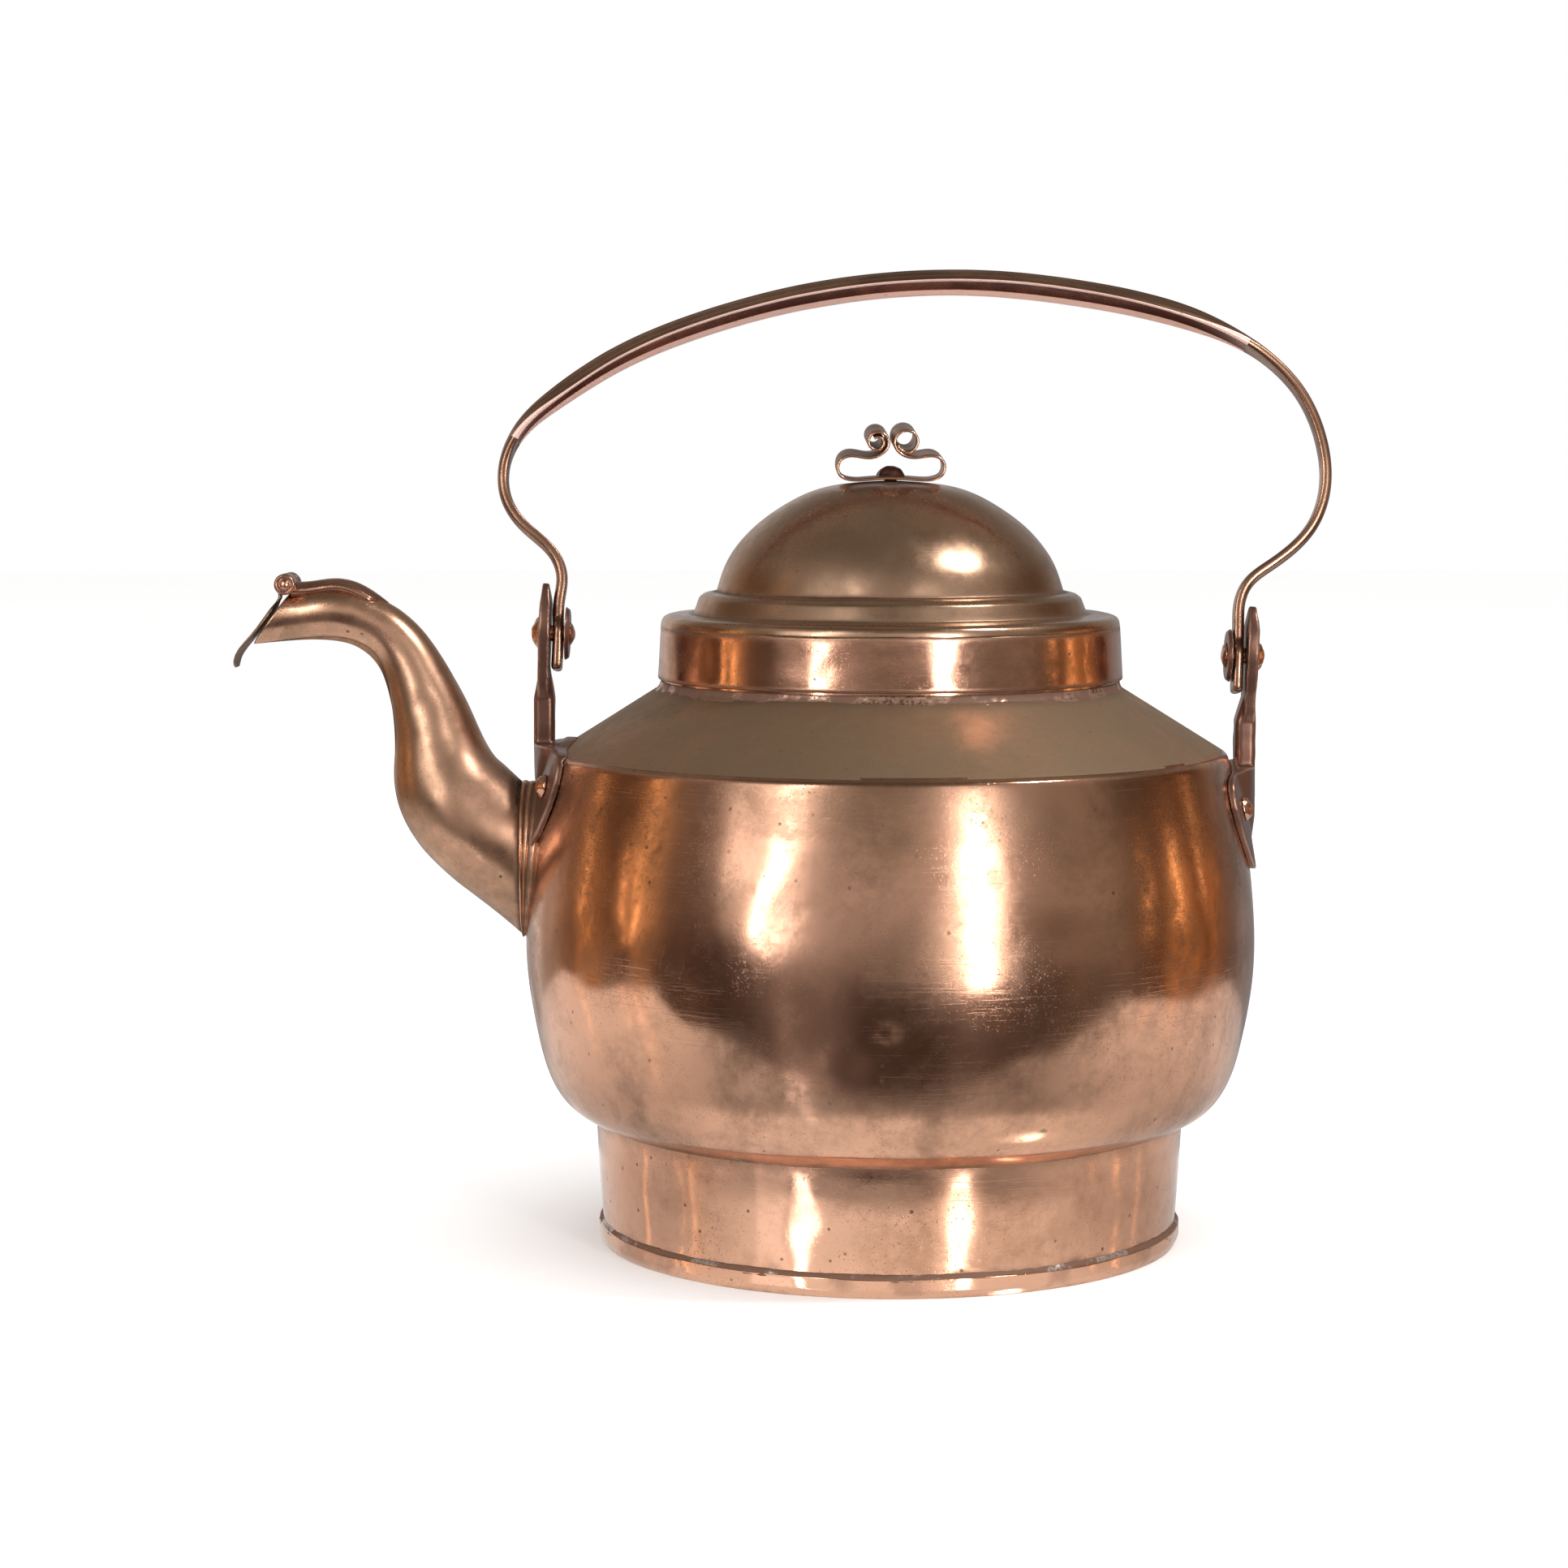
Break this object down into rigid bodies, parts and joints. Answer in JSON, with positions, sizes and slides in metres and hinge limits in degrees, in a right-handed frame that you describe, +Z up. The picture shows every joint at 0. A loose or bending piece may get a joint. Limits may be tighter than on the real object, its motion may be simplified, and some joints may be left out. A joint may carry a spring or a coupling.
{
  "type": "stovetop kettle",
  "caption": "Copper stovetop kettle with a bulged barrel on a drop-in base, gooseneck spout with a hinged flap, swing bail handle and lift-off domed lid with a scrolled knob.",
  "frame": {"origin": "centre of the underside, on the surface the kettle stands on", "axes": "+Z up; the spout points along -X; the handle and the spout lie in the XZ plane; +Y is the side the handle leans to at rest"},
  "size_m": [0.3756, 0.2496, 0.3321],
  "materials": {
    "copper_barrel": "aged copper, worn polish over brown patina",
    "copper_base": "brighter salmon-pink polished copper with pits",
    "copper_neck": "polished copper",
    "copper_lid": "satin olive-brown tarnished copper",
    "copper_spout": "satin copper, hand-worn",
    "copper_flap": "dark copper with a bright worn edge",
    "copper_handle": "brown copper, ribbed, bright on the edges",
    "copper_knob": "polished copper strip",
    "copper_rivet": "hammered copper",
    "dark_copper_lug": "glossy dark red-brown patina",
    "solder": "dull grey solder, grimy"
  },
  "bodies": {
    "kettle_body": {"barrel_shell": "copper_barrel", "base_ring": "copper_base", "bottom_plate": "copper_base", "base_solder_bead": "solder", "neck_collar": "copper_neck", "neck_solder_fillet": "solder", "spout_tube": "copper_spout", "spout_collar": "copper_spout", "flap_hinge_strap": "copper_spout", "flap_hinge_pin": "copper_rivet", "ear_spout_side": "dark_copper_lug", "ear_rear": "dark_copper_lug", "ear_rivets_spout_side": "copper_rivet", "ear_rivets_rear": "copper_rivet", "ear_roves_spout_side": "copper_rivet", "ear_roves_rear": "copper_rivet", "handle_rivet_spout_side": "copper_rivet", "handle_rivet_rear": "copper_rivet", "handle_washer_spout_side": "dark_copper_lug", "handle_washer_rear": "dark_copper_lug"},
    "lid": {"lid_top": "copper_lid", "lid_skirt": "copper_neck", "knob_scroll": "copper_knob", "knob_rivet": "dark_copper_lug", "knob_rove": "copper_rivet"},
    "handle": {"handle_bail": "copper_handle"},
    "flap": {"spout_flap": "copper_flap"}
  },
  "joints": [
    {"name": "handle_swing", "type": "hinge", "parent": "kettle_body", "child": "handle", "pos_m": [0.00275, 0, 0.20415], "axis": [0.9995, 0, -0.0331], "range_deg": [-92, 112]},
    {"name": "lid_lift", "type": "slide", "parent": "kettle_body", "child": "lid", "axis": [0, 0, 1], "range_m": [0, 0.035]},
    {"name": "spout_flap_swing", "type": "hinge", "parent": "kettle_body", "child": "flap", "pos_m": [-0.2056, 0, 0.225], "axis": [0, 1, 0], "range_deg": [0, 120]}
  ]
}
